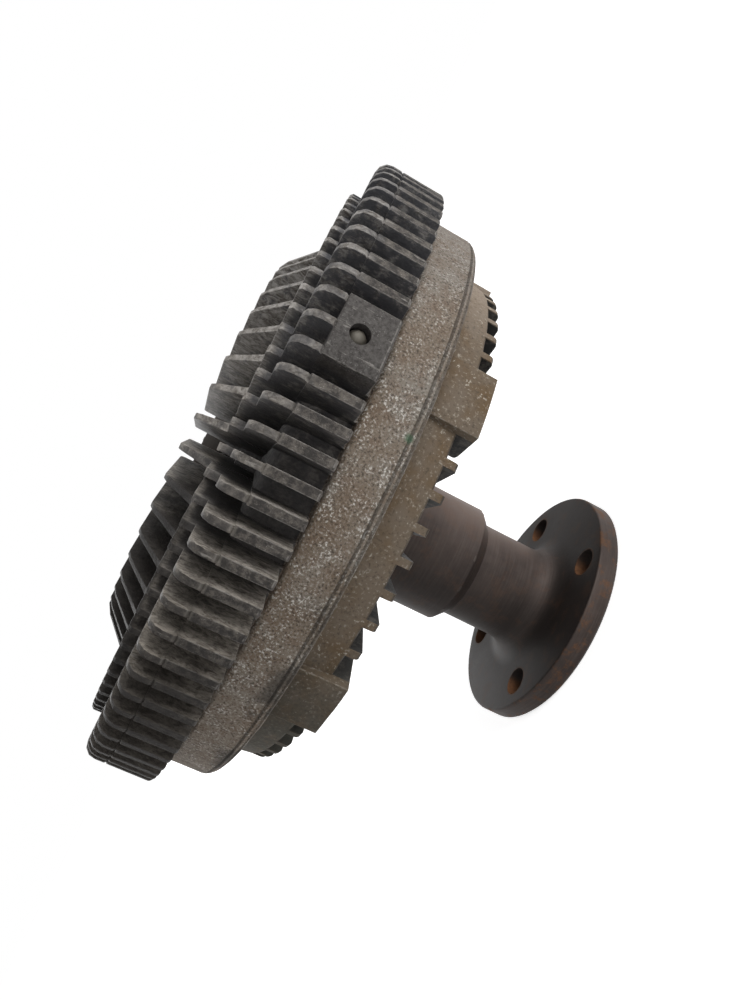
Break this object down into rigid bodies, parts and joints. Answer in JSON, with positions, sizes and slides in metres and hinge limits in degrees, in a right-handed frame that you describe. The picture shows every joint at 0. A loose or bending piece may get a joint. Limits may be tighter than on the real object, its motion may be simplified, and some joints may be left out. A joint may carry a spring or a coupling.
{
  "type": "viscous fan clutch",
  "caption": "Temperature-sensing viscous fan clutch: finned aluminium housing on a ball bearing round a flanged steel drive shaft, with rotor, valve and bimetal coil inside.",
  "frame": {"origin": "centre of the drive flange's mounting face", "axes": "+Z along the clutch axis from the drive flange to the finned front; the first tapped fan boss lies towards +X and -Y"},
  "size_m": [0.1984, 0.1984, 0.1326],
  "materials": {
    "forged_steel": "dark worn steel with a tint of rust",
    "bearing_steel": "polished",
    "cage_brass": "satin",
    "seal_rubber": "matt",
    "spring_steel": "dark oiled",
    "rotor_aluminium": "machined",
    "rear_casting": "dull dirty casting",
    "front_casting": "dull dirty casting",
    "plate_steel": "plain",
    "bimetal_strip": "heat-tinted, dusty"
  },
  "bodies": {
    "shaft": {"drive_shaft": "forged_steel", "bearing_inner_race": "bearing_steel", "rotor": "rotor_aluminium", "rotor_keeper": "spring_steel"},
    "housing": {"rear_housing": "rear_casting", "front_housing": "front_casting", "bearing_outer_race": "bearing_steel", "bearing_seal_rear": "seal_rubber", "bearing_seal_front": "seal_rubber", "bearing_snap_ring": "spring_steel", "housing_o_ring": "seal_rubber", "passage_ball": "bearing_steel", "wiper_dam": "cage_brass", "partition_plate": "plate_steel", "partition_screws": "plate_steel", "bimetal_coil": "bimetal_strip"},
    "ball_set": {"bearing_balls": "bearing_steel", "bearing_cage": "cage_brass"},
    "valve": {"valve_shaft": "plate_steel", "valve_arm": "spring_steel", "valve_o_ring": "seal_rubber", "valve_clip": "spring_steel"}
  },
  "joints": [
    {"name": "housing_spin", "type": "hinge", "parent": "shaft", "child": "housing", "pos_m": [0, 0, 0.078], "axis": [0, 0, 1], "continuous": true},
    {"name": "ball_set_spin", "type": "hinge", "parent": "shaft", "child": "ball_set", "pos_m": [0, 0, 0.078], "axis": [0, 0, 1], "continuous": true},
    {"name": "valve_turn", "type": "hinge", "parent": "housing", "child": "valve", "pos_m": [0, 0, 0.115], "axis": [0, 0, 1], "range_deg": [0, 30], "stiffness_Nm_per_rad": 0.02, "deforming": ["bimetal_coil"]}
  ],
  "couplings": [
    {"joint": "ball_set_spin", "follows": "housing_spin", "ratio": 0.60326}
  ]
}
